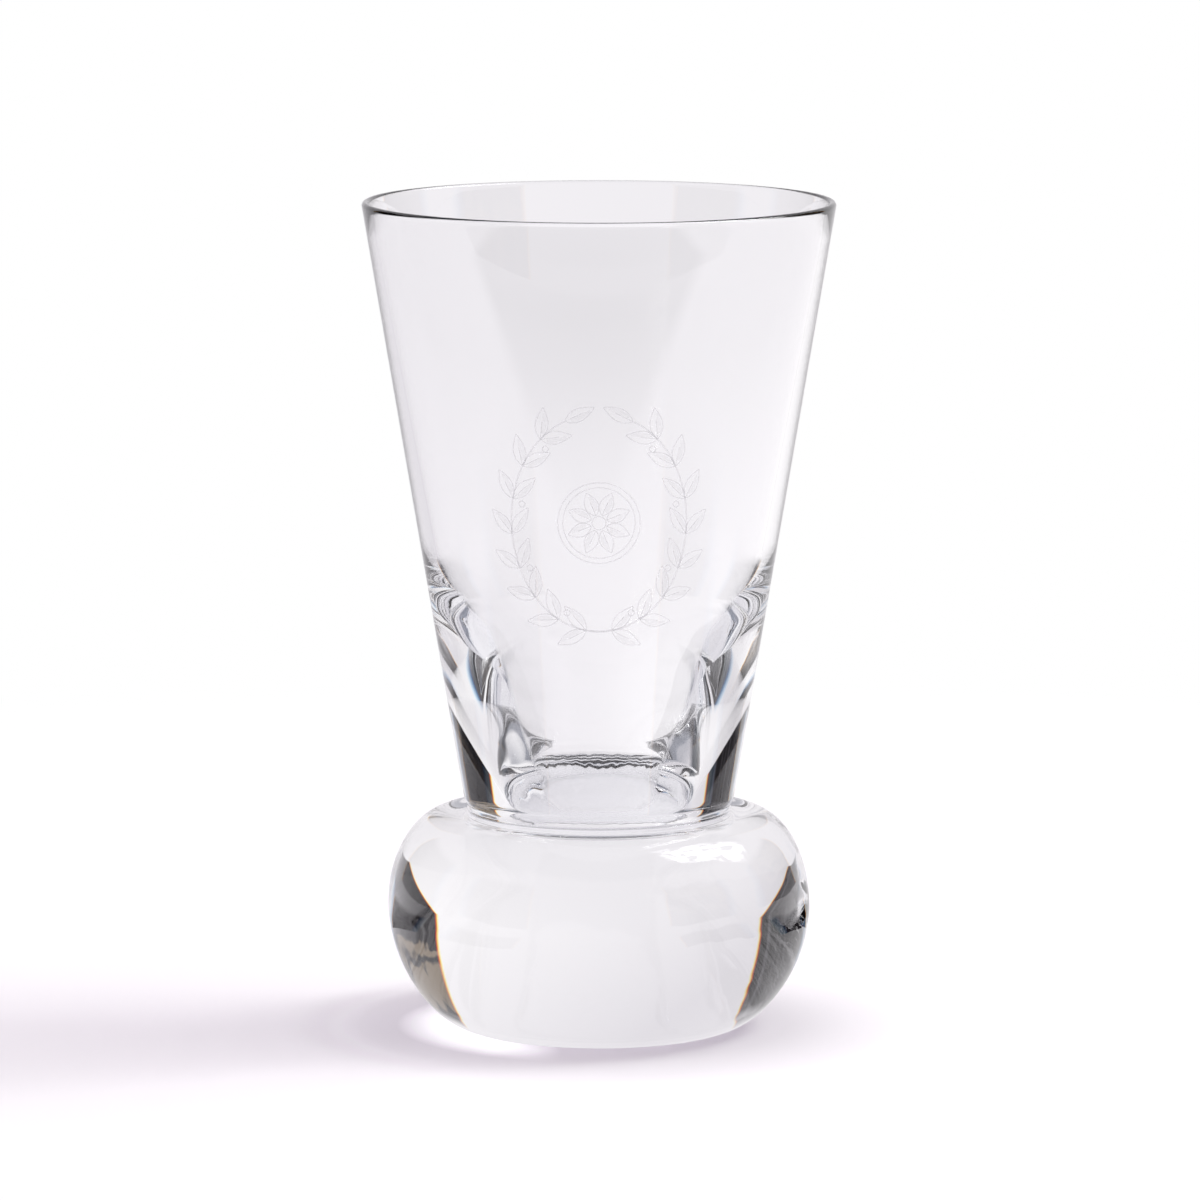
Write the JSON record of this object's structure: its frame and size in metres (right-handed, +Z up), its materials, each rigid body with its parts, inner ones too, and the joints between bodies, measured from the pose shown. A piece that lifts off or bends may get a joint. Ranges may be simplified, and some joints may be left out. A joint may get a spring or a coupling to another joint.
{
  "type": "toasting glass",
  "caption": "Heavy clear toasting glass: a straight flared bowl whose inside narrows to a small round cup in a thick base, joined by a thin collar to a solid flattened ball foot.",
  "frame": {"origin": "middle of the ground flat that the glass stands on", "axes": "+Z up along the glass's axis, towards the rim; -Y towards the viewer of the picture, so +X is the viewer's right"},
  "size_m": [0.0624, 0.0624, 0.11],
  "materials": {
    "clear_glass": "polished, hot-worked clear glass",
    "etched_glass": "fine matt etching on the polished wall"
  },
  "bodies": {
    "root": {"foot": "clear_glass", "collar": "clear_glass", "bowl": "clear_glass"}
  },
  "joints": []
}
